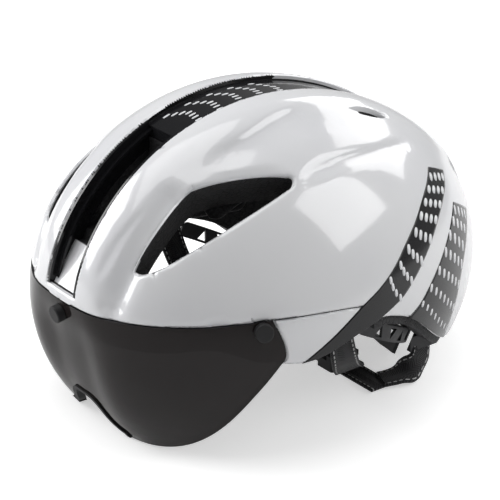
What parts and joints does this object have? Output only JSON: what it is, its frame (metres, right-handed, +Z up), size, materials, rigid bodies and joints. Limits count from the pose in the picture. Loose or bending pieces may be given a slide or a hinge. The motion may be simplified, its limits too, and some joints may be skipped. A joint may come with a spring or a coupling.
{
  "type": "aero time trial helmet",
  "caption": "Rounded short-tail aero bicycle helmet with a wrap-around smoked visor on magnetic buttons, a black vented spine, a dial-fit band and chin straps.",
  "frame": {"origin": "middle of the bounding box on the table plane, on the helmet's mirror plane", "axes": "+Z up, the wearer's face looks along -Y, the wearer's left is +X"},
  "size_m": [0.2018, 0.2643, 0.1658],
  "materials": {
    "white_shell": "glossy",
    "black_gloss": "glossy",
    "black_trim": "matt",
    "foam": "matt",
    "smoked_lens": "glossy",
    "rubber_edge": "matt",
    "magnet_steel": "satin",
    "nylon": "matt",
    "pad_cloth": "soft",
    "webbing": "woven"
  },
  "bodies": {
    "root": {"anchor_front_left": "nylon", "anchor_front_right": "nylon", "anchor_rear_left": "nylon", "anchor_rear_right": "nylon", "brow_grille_left": "black_trim", "brow_grille_right": "black_trim", "brow_pad": "pad_cloth", "buckle_plug": "nylon", "buckle_socket": "nylon", "channel_ramp": "white_shell", "channel_trim_left": "black_trim", "channel_trim_right": "black_trim", "crown_pad_left": "pad_cloth", "crown_pad_right": "pad_cloth", "divider_left": "nylon", "divider_right": "nylon", "foam_liner_front_left": "foam", "foam_liner_front_right": "foam", "foam_liner_rear_left": "foam", "foam_liner_rear_right": "foam", "height_rail": "nylon", "lower_shell": "white_shell", "outer_shell": "white_shell", "rear_pad": "pad_cloth", "shell_magnet_center": "magnet_steel", "shell_magnet_left": "magnet_steel", "shell_magnet_right": "magnet_steel", "side_pad_left": "pad_cloth", "side_pad_right": "pad_cloth", "spine_panel": "black_gloss", "strap_front_left": "webbing", "strap_front_right": "webbing", "strap_keeper": "rubber_edge", "strap_rear_left": "webbing", "strap_rear_right": "webbing", "temple_pad_left": "pad_cloth", "temple_pad_right": "pad_cloth"},
    "visor": {"visor_lens": "smoked_lens", "nose_pad": "rubber_edge", "visor_button_center": "black_gloss", "visor_button_left": "black_gloss", "visor_button_right": "black_gloss", "visor_magnet_center": "magnet_steel", "visor_magnet_left": "magnet_steel", "visor_magnet_right": "magnet_steel"},
    "cradle": {"cradle_frame": "nylon", "dial_cover": "nylon", "nape_pad": "pad_cloth"},
    "dial": {"dial_knob": "nylon", "dial_pinion": "nylon", "dial_screw": "magnet_steel"},
    "arm_left": {"band_arm_left": "nylon"},
    "arm_right": {"band_arm_right": "nylon"},
    "lever_left": {"divider_lever_left": "nylon"},
    "lever_right": {"divider_lever_right": "nylon"}
  },
  "joints": [
    {"name": "visor_pull", "type": "slide", "parent": "root", "child": "visor", "axis": [0, -1, 0], "range_m": [0, 0.08]},
    {"name": "cradle_height", "type": "slide", "parent": "root", "child": "cradle", "axis": [0, 0.4695, 0.8829], "range_m": [-0.012, 0]},
    {"name": "dial_turn", "type": "hinge", "parent": "cradle", "child": "dial", "pos_m": [0, 0.01183, 0.05995], "axis": [0, 0.8829, -0.4695], "range_deg": [0, 228.55]},
    {"name": "arm_left_slide", "type": "hinge", "parent": "cradle", "child": "arm_left", "pos_m": [0, 0.0076, 0.052], "axis": [0, 0.4695, 0.8829], "range_deg": [0, 12]},
    {"name": "arm_right_slide", "type": "hinge", "parent": "cradle", "child": "arm_right", "pos_m": [0, 0.0076, 0.052], "axis": [0, 0.4695, 0.8829], "range_deg": [-12, 0]},
    {"name": "lever_left_flip", "type": "hinge", "parent": "root", "child": "lever_left", "pos_m": [0.0295, 0.0336, 0.0075], "axis": [0, 1, 0], "range_deg": [0, 75]},
    {"name": "lever_right_flip", "type": "hinge", "parent": "root", "child": "lever_right", "pos_m": [-0.0295, 0.0336, 0.0075], "axis": [0, -1, 0], "range_deg": [0, 75]}
  ],
  "couplings": [
    {"joint": "arm_left_slide", "follows": "dial_turn", "ratio": 0.0525},
    {"joint": "arm_right_slide", "follows": "dial_turn", "ratio": -0.0525}
  ]
}
